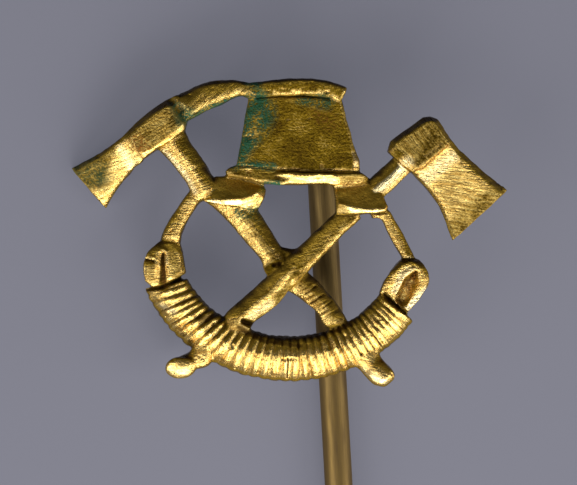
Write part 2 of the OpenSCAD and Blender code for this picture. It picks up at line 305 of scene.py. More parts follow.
axe_block = [
    [4.06, 5.12, 4.23, 5.21, 1.4, 0.2], [4.19, 5.55, 4.45, 5.5, 1.4, 0.5],
    [4.66, 5.93, 4.83, 5.76, 1.4, 0.55], [5.59, 6.56, 5.72, 6.35, 1.42, 0.55],
    [5.93, 6.6, 5.93, 6.41, 1.42, 0.5], [6.18, 6.48, 6.1, 6.31, 1.42, 0.5],
    [6.65, 5.76, 6.48, 5.72, 1.44, 0.5], [6.82, 5.5, 6.65, 5.42, 1.44, 0.4],
    [5.46, 4.36, 5.33, 4.45, 1.44, 0.12], [5.08, 4.23, 5.12, 4.53, 1.44, 0.22],
    [4.57, 4.66, 4.66, 4.81, 1.42, 0.12],
]
axe_blade = [
    [6.65, 5.72, 4.95, 4.35, 1.46], [6.77, 5.59, 5.08, 4.23, 1.4], [7.05, 5.28, 5.3, 3.98, 1.22],
    [7.38, 4.98, 5.6, 3.66, 1.07], [7.88, 4.5, 5.97, 3.22, 0.95], [8.42, 4.06, 6.39, 2.54, 0.82],
    [9.22, 3.5, 6.84, 1.32, edge_h],
]
handle_web = [
    [-0.44, 1.06, -0.36, 0.9, 0.6, 0.2], [0.0, 0.98, 0.0, 0.84, 0.6, 0.2], [0.46, 1.05, 0.4, 0.9, 0.6, 0.2],
    [-0.1, 0.45, -0.1, 0.5, 0.6, 0.1],
]

add_form(bar(axe_handle_low, roofed), strokes=12, cut=0.02, film=0.6)
add_form(bar(axe_handle_middle, edged), strokes=15, cut=0.02, film=0.8)
add_form(bar(axe_handle_top, roofed), strokes=42, cut=0.015, film=0.25)
add_form(bar(axe_blade, ground), strokes=-8, cut=0.03, film=0.35)
add_form(plate(axe_block), strokes=-50, cut=0.06, film=0.75)
add_form(plate(handle_web), strokes=0, cut=0.01, film=1.0)

# The helmet: a low crown with a rolled brim under it, and a peak at each side that dips from the
# brim to a raised lower lip. It is cast with the rest, over the crossing of the handles.
crown = [
    [-1.82, 7.49, -1.74, 7.35, 1.1, 0.1], [2.07, 7.49, 1.99, 7.35, 1.1, 0.1],
    [2.33, 6.44, 2.25, 6.44, 1.18, 0.1], [2.58, 5.5, 2.48, 5.5, 1.26, 0.15],
    [2.84, 4.74, 2.6, 4.74, 1.33, 0.25], [2.88, 4.23, 2.6, 4.33, 1.36, 0.3],
    [-2.37, 4.35, -2.3, 4.35, 1.36, 0.1], [-2.12, 5.8, -2.05, 5.8, 1.23, 0.1],
]
brim_left = [
    [-2.82, 4.24, -2.72, 4.06, 1.15], [-2.66, 4.42, -2.5, 4.04, 1.28], [-2.2, 4.53, -2.1, 3.98, 1.36],
    [-1.4, 4.42, -1.35, 3.79, 1.44], [-0.51, 4.32, -0.51, 3.7, 1.48], [-0.1, 4.3, -0.1, 3.7, 1.4],
]
brim_right = [
    [-1.4, 4.1, -1.4, 3.82, 1.2], [-0.85, 4.22, -0.85, 3.74, 1.42], [-0.3, 4.3, -0.3, 3.7, 1.53],
    [0.34, 4.26, 0.34, 3.7, 1.58], [1.19, 4.23, 1.19, 3.73, 1.55], [1.86, 4.23, 1.86, 3.66, 1.52],
    [2.46, 4.26, 2.46, 3.66, 1.5], [2.92, 4.21, 2.88, 3.73, 1.45], [3.22, 4.02, 3.18, 3.85, 1.2],
]
left_peak = [
    [-3.73, 3.01, -3.6, 3.03, 1.35, 0.05], [-3.51, 3.47, -3.43, 3.51, 1.2, 0.1],
    [-3.26, 4.06, -3.18, 4.02, 0.95, 0.1], [-2.41, 4.06, -2.41, 3.98, 0.9, 0.1],
    [-1.27, 3.81, -1.4, 3.68, 1.05, 0.1], [-1.1, 3.47, -1.27, 3.56, 1.2, 0.15],
    [-1.19, 3.09, -1.48, 3.34, 1.5, 0.22], [-1.4, 2.71, -1.78, 3.2, 1.58, 0.36],
    [-1.78, 2.65, -2.07, 3.11, 1.6, 0.32], [-2.2, 2.73, -2.29, 3.09, 1.6, 0.22],
    [-2.84, 2.84, -2.84, 3.05, 1.56, 0.12], [-3.39, 2.9, -3.34, 3.01, 1.45, 0.06],
]
right_peak = [
    [1.74, 3.73, 1.86, 3.64, 1.2, 0.1], [1.84, 3.05, 1.92, 3.09, 1.5, 0.12],
    [1.88, 2.43, 1.97, 2.9, 1.66, 0.36], [2.46, 2.43, 2.46, 2.74, 1.63, 0.2],
    [3.09, 2.46, 3.09, 2.63, 1.58, 0.1], [3.94, 2.54, 3.9, 2.67, 1.5, 0.08],
    [4.06, 2.75, 3.94, 2.79, 1.4, 0.1], [3.9, 3.18, 3.77, 3.22, 1.2, 0.1],
    [3.6, 3.68, 3.47, 3.64, 1.0, 0.1], [3.09, 3.98, 3.01, 3.9, 0.9, 0.1],
]

add_form(plate(crown), strokes=3, cut=0.008, film=1.0)
add_form(bar(brim_left, edged), strokes=0, cut=0.01, film=0.85)
add_form(bar(brim_right, lipped), strokes=0, cut=0.004, film=0.2)
add_form(plate(left_peak), strokes=20, cut=0.004, film=0.45)
add_form(plate(right_peak), strokes=-10, cut=0.004, film=0.4)

# The hose: a fat band of close ribs, bent like a horseshoe under the handles. The ribs were cut by
# hand in the pattern, so their width, depth and slant all vary a little.
hose_h = 1.25
hose_centre = Vector((-0.15, 1.95))
hose_r = 5.65
hose_w = 1.95
hose_end_w = 1.85
hose_left = -154.5
hose_right = -37
hose_turn = hose_left - hose_right
hose_spread = 0.12

# The ribs, from the right end to the left: the share of the hose that each takes, its rise from
# groove to groove, and how far its outer end lags behind its inner one, in degrees.
rib_turns = (3.0, 2.0, 2.2, 2.4, 2.2, 3.0, 2.7, 2.5, 3.2, 2.6, 3.0, 3.8, 4.2, 3.0, 3.4, 3.9, 3.5, 4.0, 3.8,
             3.5, 3.7, 3.8, 3.7, 3.6, 4.0, 3.5, 3.6, 4.0, 3.8, 3.2, 2.9, 2.8, 4.2, 3.0, 2.6)
rib_rise = [(0.0, 0.0), (0.12, 0.45), (0.28, 0.88), (0.5, 1.0), (0.74, 0.85), (0.9, 0.42)]
rib_lag = 3.6
lag_from = 0.45
lag_over = 0.25
lag_spread = 0.4
groove_depth = 0.4
end_groove_depth = 0.25
groove_spread = (0.75, 1.2)
groove_nip = 0.6
crest_shift = 0.55
end_drop = 0.15
ribs_by_hand = random.Random(5)

hose_section = [
    (-0.5, past_back), (-0.5, 0.42), (-0.47, 0.27), (-0.42, 0.17), (-0.34, 0.1), (-0.2, 0.04), (-0.06, 0),
    (0.08, 0.02), (0.2, 0.08), (0.32, 0.16), (0.42, 0.26), (0.48, 0.38), (0.5, 0.55), (0.5, past_back),
]


def hose_cut(share, rise, lag):
    """A cut across the hose, from its inner side to its outer side."""
    angle = hose_right + hose_turn * share
    width = hose_end_w + (hose_w - hose_end_w) * sin(pi * share) + groove_nip * rise
    middle_r = hose_r + hose_spread * cos(pi * share) ** 2
    ends = []
    for side in (-1, 1):
        at = radians(angle - side * lag / 2)
        reach = middle_r + side * width / 2
        ends.append(hose_centre + Vector((cos(at), sin(at))) * reach)
    return [*ends[0], *ends[1], hose_h + rise]


rib_starts = np.concatenate(([0], np.cumsum(rib_turns))) / sum(rib_turns)
hose_cuts = []
for start, end in zip(rib_starts, rib_starts[1:]):
    pitch = (end - start) * radians(hose_right - hose_left) * hose_r
    depth = pitch * (groove_depth + end_groove_depth * abs(cos(pi * start)))
    depth *= ribs_by_hand.uniform(*groove_spread)
    lag = rib_lag * min(max((start - lag_from) / lag_over, 0), 1)
    lag += ribs_by_hand.uniform(-lag_spread, lag_spread)
    crest = 0.5 + crest_shift * (start - 0.5)
    for share, rise in rib_rise:
        share = 2 * share * crest if share < 0.5 else 1 - 2 * (1 - share) * (1 - crest)
        hose_cuts.append(hose_cut(start + (end - start) * share, depth * (rise - 1), lag))
hose_cuts.append(hose_cut(1, -end_drop, rib_lag))
add_form(bar(hose_cuts, hose_section, 1), strokes=None, cut=0.012, film=0.05)

# The couplings and nozzles: at each end of the hose a strap is folded over into two cheeks with a
# slot between them, over the hose's plain core, and a slim nozzle runs up from it to the helmet's
# peak. All are cast with the rest.
left_coupling = [
    [-5.67, 1.27, -5.55, 1.1, 1.1, 0.25], [-5.25, 1.42, -5.25, 1.23, 1.1, 0.2],
    [-4.78, 1.27, -4.95, 1.1, 1.15, 0.25], [-4.66, 0.85, -4.83, 0.85, 1.25, 0.25],
    [-4.57, 0.34, -4.74, 0.34, 1.3, 0.25], [-4.49, -0.04, -4.7, 0.0, 1.35, 0.2],
    [-5.29, -0.47, -5.29, -0.3, 1.35, 0.12], [-5.93, -0.64, -5.89, -0.42, 1.4, 0.13],
    [-6.22, -0.38, -6.05, -0.3, 1.4, 0.1], [-6.29, 0.17, -6.1, 0.17, 1.4, 0.1],
    [-6.27, 0.44, -6.05, 0.26, 1.4, 0.2], [-6.14, 0.85, -5.93, 0.76, 1.2, 0.15],
    [-5.93, 1.06, -5.76, 0.97, 1.15, 0.15],
]
right_coupling = [
    [4.62, 0.51, 4.74, 0.36, 1.3, 0.4], [5.0, 0.63, 5.0, 0.45, 1.32, 0.4],
    [5.34, 0.54, 5.25, 0.36, 1.35, 0.38], [5.6, 0.32, 5.46, 0.18, 1.38, 0.3],
    [5.76, 0.02, 5.6, -0.06, 1.4, 0.22], [5.82, -0.3, 5.64, -0.3, 1.42, 0.16],
    [5.74, -0.66, 5.54, -0.56, 1.4, 0.16], [5.4, -1.16, 5.2, -0.96, 1.36, 0.16],
    [4.91, -1.69, 4.74, -1.42, 1.3, 0.18], [4.66, -1.48, 4.7, -1.35, 1.15, 0.15],
    [4.2, -1.26, 4.3, -1.08, 1.1, 0.12], [3.72, -0.88, 3.98, -0.76, 1.1, 0.2],
    [3.9, -0.44, 4.13, -0.36, 1.2, 0.2], [4.2, 0.04, 4.38, 0.0, 1.25, 0.25],
]
left_core = [[-4.75, -0.2, -5.9, -0.6, 1.0], [-4.6, -0.5, -6.1, -0.9, 1.1], [-4.5, -0.9, -6.1, -1.2, 1.0]]
right_core = [[4.9, -0.7, 4.2, -1.0, 1.0], [5.0, -1.4, 4.0, -1.1, 1.05], [4.9, -1.9, 3.7, -1.4, 1.0]]
left_nozzle = [
    [-5.59, 1.34, -4.74, 1.26, 1.0], [-5.55, 1.5, -4.72, 1.42, 1.12], [-5.46, 1.74, -4.7, 1.61, 1.12],
    [-5.25, 2.16, -4.49, 2.07, 1.05], [-5.0, 2.54, -4.23, 2.5, 1.05], [-4.74, 2.92, -4.02, 2.84, 1.1],
    [-4.5, 3.25, -3.85, 3.09, 1.12], [-4.27, 3.56, -3.6, 3.35, 1.12],
]
right_nozzle = [
    [3.4, 2.6, 3.4, 2.3, 1.05], [3.8, 2.65, 3.72, 2.28, 1.1], [4.11, 2.58, 3.84, 2.2, 1.1],
    [4.36, 2.24, 3.94, 2.0, 1.05], [4.66, 1.74, 4.19, 1.44, 1.0], [4.91, 1.23, 4.43, 1.02, 1.0],
    [5.12, 0.82, 4.61, 0.76, 1.05], [5.2, 0.62, 4.66, 0.62, 1.15], [5.2, 0.52, 4.7, 0.52, 0.9],
]

add_form(plate(left_coupling), strokes=2, cut=0.02, film=0.4)
add_form(plate(right_coupling), strokes=8, cut=0.03, film=0.2)
add_form(bar(left_core, rounded), film=0.4)
add_form(bar(right_core, rounded), film=0.4)
add_form(bar(left_nozzle, edged), strokes=0, cut=0.03, film=0.3)
add_form(bar(right_nozzle, roofed), strokes=5, cut=0.03, film=0.65)

# The butts: the two handles come out below the hose, where the axe's ends in a long smooth knob at
# the left, and the pick-axe's in a short worn one at the right. Both are cast with the rest.
left_butt = [
    [-3.3, -3.4, -4.1, -2.7, 0.95], [-3.5, -3.95, -4.3, -3.35, 1.0], [-4.0, -4.15, -4.75, -3.6, 0.9],
]
left_knob = (-4.72, -4.07, 1.3, 0.92, 4)
right_butt = [
    [3.73, -3.22, 2.5, -3.8, 0.95], [3.74, -3.56, 2.95, -4.24, 0.95], [3.98, -3.86, 3.2, -4.52, 1.1],
    [4.32, -4.24, 3.5, -4.8, 1.15], [4.34, -4.52, 3.82, -4.88, 0.95], [4.2, -4.7, 4.0, -4.86, 0.75],
]
knob_h = 1.15
knob_dome = 0.26
knob_slope = 0.35


def knob(x, y, length, width, angle):
    """An egg-shaped knob, worn down towards the front, with upright sides to the emblem's back."""
    shape = bmesh.new()
    bmesh.ops.create_uvsphere(shape, u_segments=24, v_segments=16, radius=0.5)
    bmesh.ops.scale(shape, vec=(length, width, 2 * knob_dome), verts=shape.verts)
    for corner in shape.verts:
        if corner.co.z > -0.001:
            corner.co.z += knob_h - knob_dome + knob_slope * corner.co.y
        else:
            corner.co.z = 0
    turn = Matrix.Translation((x, y, 0)) @ Matrix.Rotation(radians(angle), 4, "Z")
    bmesh.ops.transform(shape, matrix=turn, verts=shape.verts)
    return shape


add_form(bar(left_butt, rounded), strokes=20, cut=0.015, film=0.3)
add_form(bar(right_butt, rounded), strokes=-20, cut=0.01, film=0.1)
add_form(knob(*left_knob), cut=0.004, film=0)

# The solder: a low collar of it, wider towards the casting, holds the wire's foot to the emblem's
# back. It was gilt together with the emblem.
collar_d = 2.1
collar_end_d = 1.32
collar_h = 0.55
collar_root = 0.3
wire_foot = Vector((needle_x - foot_y * tan(needle_lean), foot_y))

solder = bmesh.new()
bmesh.ops.create_cone(
    solder, cap_ends=True, segments=32, radius1=collar_end_d / 2, radius2=collar_d / 2,
    depth=collar_h + collar_root, matrix=Matrix.Translation((*wire_foot, collar_root / 2 - collar_h / 2)),
)
add_form(solder, cut=0, film=0.3)

# The casting as one piece: gilt brass, in which the forms have run into each other. Its skin takes
# the marks of the file, and then what the years did to it: worn edges, pits, knocks, a dark film,
# dirt in the hollows, verdigris and a little rust. Shade is painted into the hollows and corners, and
# onto the slopes that face up.
voxel = 0.056
form_tree = BVHTree.FromBMesh(casting)
rough_mesh = bpy.data.meshes.new("rough casting")
casting.to_mesh(rough_mesh)
casting.free()
rough = bpy.data.objects.new("rough casting", rough_mesh)
bpy.context.scene.collection.objects.link(rough)
fuse = rough.modifiers.new("fuse", "REMESH")
fuse.mode = "VOXEL"
fuse.voxel_size = voxel
soften = rough.modifiers.new("soften", "SMOOTH")
soften.factor = 0.5
soften.iterations = 1
emblem_mesh = bpy.data.meshes.new_from_object(rough.evaluated_get(bpy.context.evaluated_depsgraph_get()))
bpy.data.objects.remove(rough)
bpy.data.meshes.remove(rough_mesh)

# The back and the foot of its sides are plain, so they are thinned out to fewer faces.
plain_below = 0.3
thinned = bpy.data.objects.new("thinned casting", emblem_mesh)
bpy.context.scene.collection.objects.link(thinned)
plain = thinned.vertex_groups.new(name="plain")
plain.add([spot.index for spot in emblem_mesh.vertices if spot.co.z < plain_below], 1, "REPLACE")
thin = thinned.modifiers.new("thin", "DECIMATE")
thin.vertex_group = "plain"
thin.ratio = 0.69
fused_mesh = emblem_mesh
emblem_mesh = bpy.data.meshes.new_from_object(thinned.evaluated_get(bpy.context.evaluated_depsgraph_get()))
bpy.data.objects.remove(thinned)
bpy.data.meshes.remove(fused_mesh)

count = len(emblem_mesh.vertices)
spots = np.empty(count * 3)
emblem_mesh.vertices.foreach_get("co", spots)
spots = spots.reshape(-1, 3)
edges = np.empty(len(emblem_mesh.edges) * 2, int)
emblem_mesh.edges.foreach_get("vertices", edges)
edges = edges.reshape(-1, 2)
neighbours = np.bincount(edges.ravel(), minlength=count)


def spread(values, times):
    """Each spot's value blended with its neighbours', a number of times over."""
    for _ in range(times):
        total = np.bincount(edges[:, 0], values[edges[:, 1]], count)
        total += np.bincount(edges[:, 1], values[edges[:, 0]], count)
        values = (values + total / neighbours) / 2
    return values


def ramp(values, low, high):
    """0 up to the low value, 1 from the high one on, and a smooth rise between them."""
    share = np.clip((values - low) / (high - low), 0, 1)
    return share * share * (3 - 2 * share)


def within(line, softness=0.5):
    """1 inside a line of points that each have an x, a y and a width, falling to 0 at its sides."""
    most = np.zeros(count)
    for start, end in zip(np.array(line, float), np.array(line[1:], float)):
        run = end[:2] - start[:2]
        share = np.clip((spots[:, :2] - start[:2]) @ run / (run @ run), 0, 1)
        gap = np.hypot(*(spots[:, :2] - start[:2] - share[:, None] * run).T)
        half = (start[2] + (end[2] - start[2]) * share) / 2
        most = np.maximum(most, 1 - ramp(gap / half, 1 - softness, 1 + softness))
    return most


def most_of(places, softness=0.9):
    """The most that any of the places gives to each spot. A place is a line and its strength."""
    return np.maximum.reduce([strength * within(line, softness) for line, strength in places])


def lumps(size, seed, stretch=None):
    """Smooth noise from -1 to 1 with lumps of about a size in mm, over the skin or other places."""
    grid = spots if stretch is None else stretch
    shift = Vector((seed * 7.3, seed * 3.1, seed * 5.7))
    return np.array([noise.noise(Vector(spot) / size + shift) for spot in grid])


# Lines pressed into the relief, each of points with an x, a y and a width, and its depth. Those
# with a depth below 0 stand up as rims.
left_slot = [[-5.46, 0.8, 0.08], [-5.48, 0.38, 0.18], [-5.46, -0.5, 0.34]]
right_slot = [[5.25, -0.02, 0.1], [5.02, -0.45, 0.46], [4.66, -1.2, 0.42]]
pressed = [
    # The couplings' slots with their rims and steps, and their joints with the hose and a nozzle.
    (left_slot, 0.2),
    ([[-5.65, 0.1, 0.2], [-5.62, -0.3, 0.26]], 0.1),
    ([[-5.76, 0.4, 0.14], [-5.7, 0.85, 0.14], [-5.5, 0.98, 0.16], [-5.3, 0.85, 0.14],
      [-5.27, 0.4, 0.14]], -0.07),
    (right_slot, 0.4),
    ([[4.4, -0.85, 0.2], [4.72, -0.2, 0.2], [5.1, 0.12, 0.2]], -0.08),
    ([[-6.15, 0.52, 0.1], [-5.85, 0.46, 0.1]], 0.12),
    ([[-6.2, -0.78, 0.12], [-5.4, -0.62, 0.13], [-4.5, -0.18, 0.12]], 0.28),
    ([[3.9, -0.95, 0.12], [4.35, -1.35, 0.12], [4.8, -1.75, 0.12]], 0.2),
    ([[4.5, 0.53, 0.1], [5.35, 0.56, 0.1]], 0.2),
    # The crown's joints with the brim and the pick, the pick's with its block, and the right peak's lip.
    ([[-2.3, 4.5, 0.08], [-1.35, 4.42, 0.08], [0.35, 4.3, 0.08], [2.9, 4.28, 0.08]], 0.07),
    ([[-1.5, 7.4, 0.08], [0.35, 7.47, 0.08], [1.6, 7.35, 0.08]], 0.12),
    ([[-5.05, 7.2, 0.3], [-4.45, 6.45, 0.36]], 0.14),
    ([[1.9, 2.4, 0.06], [3.95, 2.48, 0.06]], 0.1),
    # A hole in the foot of the axe's handle, a knock where the handles cross, and a nick in the hose.
    ([[-2.05, -2.1, 0.2], [-1.75, -2.22, 0.24]], 0.5),
    ([[-0.75, 0.3, 0.2], [-0.55, 0.35, 0.2]], 0.25),
    ([[-0.17, -3.65, 0.07], [-0.2, -4.5, 0.07]], 0.12),
    ([[-0.4, -3.72, 0.06], [0.12, -3.68, 0.06]], 0.06),
]

# Notches across the low end of the pick-axe's handle: how far along it they are, how far they reach
# to the left and to the right, and their depth.
handle_notches = [
    (0.08, 0.36, 0.3, 0.04), (0.19, 0.1, 0.36, 0.08), (0.31, 0.36, 0.1, 0.06), (0.44, 0.2, 0.34, 0.1),
    (0.58, 0.36, 0.3, 0.05), (0.66, 0.0, 0.36, 0.08), (0.77, 0.36, 0.1, 0.08), (0.88, 0.3, 0.36, 0.05),
]
notches_from = (0.4, -0.6)
notches_run = 1.4
for share, to_left, to_right, depth in handle_notches:
    x = notches_from[0] + notches_run * share
    y = notches_from[1] - notches_run * share
    notch = [[x - to_left, y - 0.5 * to_left, 0.1], [x + to_right, y + 0.75 * to_right, 0.06]]
    pressed.append((notch, depth))
for line, depth in pressed:
    spots[:, 2] -= depth * within(line, 0.8) * ramp(spots[:, 2], 0.1, 0.8)

# Places rubbed bare and smooth, and how far.
rubbed = [
    ([[2.6, 5.05, 0.15], [2.75, 4.75, 0.2], [2.68, 4.5, 0.15]], 0.65),
    ([[-2.0, 4.7, 0.5], [-1.7, 5.7, 0.6]], 0.15),
    ([[-7.3, 5.3, 0.4], [-6.8, 4.5, 0.7]], 0.5),
    ([[7.1, 5.1, 0.6], [6.3, 4.5, 0.7], [5.6, 3.9, 0.7]], 0.55),
    ([[-0.4, 3.98, 0.3], [1.0, 3.95, 0.35], [1.9, 3.95, 0.3]], 0.25),
    ([[-5.5, -1.45, 0.3], [-5.0, -1.7, 0.3]], 0.6),
    ([[-5.1, -4.15, 0.6], [-4.5, -4.2, 0.6]], 0.3),
    ([[3.1, -4.2, 0.45], [4.0, -4.7, 0.4]], 0.5),
    ([[3.55, 3.45, 0.5], [4.9, 4.65, 0.5]], 0.8),
    ([[-5.4, 5.1, 0.3], [-4.5, 4.1, 0.3], [-4.1, 3.4, 0.3]], 0.6),
    ([[5.7, -0.75, 0.3], [4.9, -1.5, 0.3]], 1.0),
    ([[4.35, -0.8, 0.35], [4.7, -0.1, 0.35], [5.1, 0.2, 0.3]], 0.7),
    ([[-1.9, 2.85, 0.3], [-1.3, 3.1, 0.4]], 0.1),
    ([[2.0, 2.6, 0.35], [3.9, 2.6, 0.2]], 0.35),
    ([[-3.5, 2.98, 0.15], [-2.2, 2.95, 0.2]], 0.6),
    ([[-0.9, -1.3, 0.4], [-1.7, -1.9, 0.4]], 0.5),
]
polish = most_of(rubbed)

# For each spot, the way along and across its file marks, which follow the ribs on the hose, and a
# third number that keeps the marks of one form from running on into the next.
on_hose = 9
strokes = np.empty((count, 3))
cut = np.empty(count)
film = np.empty(count)
for i, spot in enumerate(spots):
    angle, cut[i], film[i] = form_finish[form_tree.find_nearest(Vector(spot))[2]]
    if angle is None:
        x, y = spot[:2] - np.array(hose_centre)
        strokes[i] = hypot(x, y), atan2(y, x) * hose_r, on_hose
    else:
        turn = radians(angle)
        strokes[i] = (
            spot[0] * cos(turn) + spot[1] * sin(turn), spot[1] * cos(turn) - spot[0] * sin(turn), angle / 40)
cut = spread(cut, 2)
film = spread(film, 2)

# The grooves between the hose's ribs are made dark, as painted shade and dirt, most of all near its two
# ends.
off_middle = (strokes[:, 0] - hose_r) / (hose_w / 2)
hose_angle = np.degrees(strokes[:, 1] / hose_r)
lag_here = rib_lag * np.clip(((hose_angle - hose_right) / hose_turn - lag_from) / lag_over, 0, 1)
along_hose = (hose_angle + off_middle * lag_here / 2 - hose_right) / hose_turn
from_groove = np.interp(along_hose, rib_starts, np.arange(len(rib_starts))) % 1
from_groove = np.minimum(from_groove, 1 - from_groove)
grooves = (strokes[:, 2] == on_hose) * (1 - ramp(from_groove, 0.04, 0.2))
grooves *= (0.3 + 0.7 * np.abs(np.cos(pi * along_hose))) * (0.8 + 0.8 * lumps(0.5, 11))

# Hollows lie lower than the skin well around them, and small edges higher than the skin close by.
# The foot of the crown, just above the brim, lies low too but gets little of the painted shade.
hollow_depth = 0.26
edge_rise = 0.05
hollow = np.clip((spread(spots[:, 2], 14) - spots[:, 2]) / hollow_depth, 0, 1)
crown_foot = within([[-2.1, 4.64, 0.42], [-0.5, 4.54, 0.42], [2.7, 4.5, 0.42]], 0.3)
hollow *= 1 - 0.9 * crown_foot
relief = np.clip((spots[:, 2] - spread(spots[:, 2], 6)) / edge_rise, -1, 1)

# The skin: file marks, a rough grain where the film has stayed, pits, and sides that sway a little.
stroke_length = 0.9
stroke_width = 0.15
stroke_wander = 0.1
pit_depth = 0.06
sway = 0.03
small_sway = 0.015
front = ramp(spots[:, 2], 0.15, 0.5)
wander = lumps(0.7, 1) * stroke_wander
stroke_marks = lumps(1, 2, np.column_stack(
    (strokes[:, 0] / stroke_length, (strokes[:, 1] + wander) / stroke_width, strokes[:, 2])))
skin = (0.008 + 0.01 * film) * lumps(0.5, 3) + (0.005 + 0.015 * film) * lumps(0.2, 4)
pits = -pit_depth * ramp(lumps(0.25, 5), 0.5, 0.75)
spots[:, 2] += front * (1 - 0.75 * polish) * (0.5 * cut * stroke_marks + skin + pits)
spots[:, 0] += sway * lumps(0.6, 6) + small_sway * lumps(0.25, 7)
spots[:, 1] += sway * lumps(0.6, 8) + small_sway * lumps(0.25, 9)

emblem_mesh.vertices.foreach_set("co", spots.ravel())
emblem_mesh.update()
facing = np.empty(count * 3)
emblem_mesh.vertices.foreach_get("normal", facing)
facing = np.column_stack([spread(axis, 1) for axis in facing.reshape(-1, 3).T])


def paint(name, values):
    """Keeps a number for each spot of the skin as a layer, under a name."""
    layer = emblem_mesh.attributes.new(name, "FLOAT", "POINT")
    layer.data.foreach_set("value", np.ascontiguousarray(values, np.float32))


stroke_layer = emblem_mesh.attributes.new("strokes", "FLOAT_VECTOR", "POINT")
stroke_layer.data.foreach_set("vector", np.ascontiguousarray(strokes, np.float32).ravel())

# Painted shade fills the corners where the forms meet or one lies over another, and, more thinly
# and with some dirt, every hollow and groove.
shaded_corners = [
    [[-0.2, 0.92, 0.3], [0.35, 0.88, 0.3]],
    [[-3.75, 4.4, 0.3], [-3.25, 3.95, 0.3]],
    [[3.2, 4.15, 0.3], [3.75, 4.15, 0.3]],
    [[-2.25, -2.35, 0.25], [-1.2, -2.95, 0.2], [0.4, -3.15, 0.2]],
    [[1.9, -2.5, 0.2], [2.5, -2.2, 0.25]],
    [[-3.9, -2.0, 0.3], [-3.4, -1.9, 0.3]],
    [[-5.46, 0.6, 0.06], [-5.4, -0.45, 0.18]],
]
for line in shaded_corners:
    hollow = np.maximum(hollow, within(line, 0.8))
paint("hollow", hollow + 1.2 * np.clip(-relief, 0, 1) + 0.9 * grooves)

# Painted shade: the slopes that face up the emblem, away from the light, and its upright sides are
# made dark, but less so the foot of the crown and the slope of the left peak.
left_peak_slope = within([[-3.4, 3.7, 0.7], [-1.5, 3.6, 0.7]])
slope_shade = ramp(spread(facing[:, 1], 5), 0.1, 0.85)
slope_shade = np.maximum(slope_shade, 0.9 - 0.9 * ramp(facing[:, 2], 0.15, 0.6))
slope_shade *= 1 - 0.9 * crown_foot
slope_shade *= 1 - 0.45 * left_peak_slope
paint("slope_shade", slope_shade)

full_cut = 0.03
paint("cut", cut / full_cut)

# Where the dark film has stayed, and how much of it.
inner_r = 4.8
inner_side = [
    [hose_centre.x + inner_r * cos(radians(turn)), hose_centre.y + inner_r * sin(radians(turn)), 0.5]
    for turn in range(-120, -34, 10)
]
stains = [
    ([[-3.3, 3.75, 0.4], [-2.4, 3.7, 0.9], [-1.5, 3.6, 0.4]], 0.6),
    ([[2.2, 3.3, 0.4], [2.9, 3.3, 1.0], [3.7, 3.3, 0.8]], 0.7),
    ([[-9.3, 4.4, 1.6], [-8.6, 4.3, 1.7], [-7.8, 5.1, 0.7]], 0.8),
    ([[8.8, 3.4, 0.9], [7.7, 2.3, 1.5], [7.1, 1.8, 1.2]], 0.7),
    ([[-0.3, 0.9, 0.5], [0.3, 0.3, 0.5]], 0.9),
    ([[-2.85, -1.75, 0.6], [-0.6, 0.25, 0.75]], 1.0),
    ([[-0.1, 0.7, 0.7], [2.1, 2.5, 0.7]], 0.95),
    ([[3.3, 3.9, 0.6], [4.5, 5.0, 0.6]], 0.9),
    ([[-4.2, 6.5, 0.3], [-3.5, 6.95, 0.3], [-2.7, 7.25, 0.3], [-1.8, 7.42, 0.35]], 0.9),
    ([[-3.6, 7.7, 0.5], [-2.3, 7.9, 0.5], [-0.5, 7.95, 0.5], [1.2, 7.95, 0.4]], 0.6),
    ([[-1.7, 7.4, 0.3], [-2.3, 4.4, 0.4]], 0.9),
    ([[2.1, 7.3, 0.25], [2.6, 5.2, 0.25]], 0.8),
    ([[-3.2, 4.1, 0.4], [-0.7, 4.05, 0.5]], 0.25),
    ([[2.2, 4.0, 0.5], [3.2, 4.0, 0.4]], 0.6),
    ([[-1.3, 7.4, 0.25], [1.4, 7.4, 0.25]], 1.0),
    (inner_side, 0.5),
    ([[-1.75, -2.05, 0.45], [-0.65, -1.2, 0.45], [-0.15, -0.65, 0.4]], 0.75),
    ([[0.6, -0.35, 1.0], [1.9, -1.75, 0.9]], 0.7),
    (left_slot, 1.0),
    ([[-5.05, 1.1, 0.4], [-4.95, 0.0, 0.5]], 0.7),
]
film *= ramp(facing[:, 2], 0.84, 0.96)
film = np.maximum(film, most_of(stains, 0.5))
film *= 1 - polish
paint("polish", np.maximum(polish, 0.55 * np.clip(relief, 0, 1)))
paint("film", film)

# Verdigris and rust, and how much of each.
verdigris_places = [
    ([[-2.4, 4.6, 0.5], [-2.0, 5.4, 0.8], [-1.65, 6.1, 1.1], [-1.4, 6.8, 1.2], [-1.5, 7.3, 0.9]], 1.0),
    ([[0.3, 7.3, 0.4], [1.4, 7.25, 0.7]], 0.8),
    ([[-5.0, 7.1, 0.4], [-4.5, 6.6, 0.8]], 0.8),
    ([[-4.0, 6.55, 0.3], [-3.5, 6.9, 0.35], [-2.6, 7.25, 0.35], [-1.6, 7.5, 0.5]], 1.0),
    ([[-1.2, 3.7, 0.3], [-0.6, 3.65, 0.35]], 1.0),
    ([[-2.3, 2.55, 0.4], [-1.5, 2.4, 0.7]], 1.0),
    ([[-2.2, 4.6, 0.3], [-0.8, 4.45, 0.35]], 0.9),
    ([[-9.2, 4.4, 1.0], [-8.3, 4.2, 1.4]], 0.4),
    ([[-1.9, 8.0, 0.3], [-1.4, 7.95, 0.3]], 0.8),
]
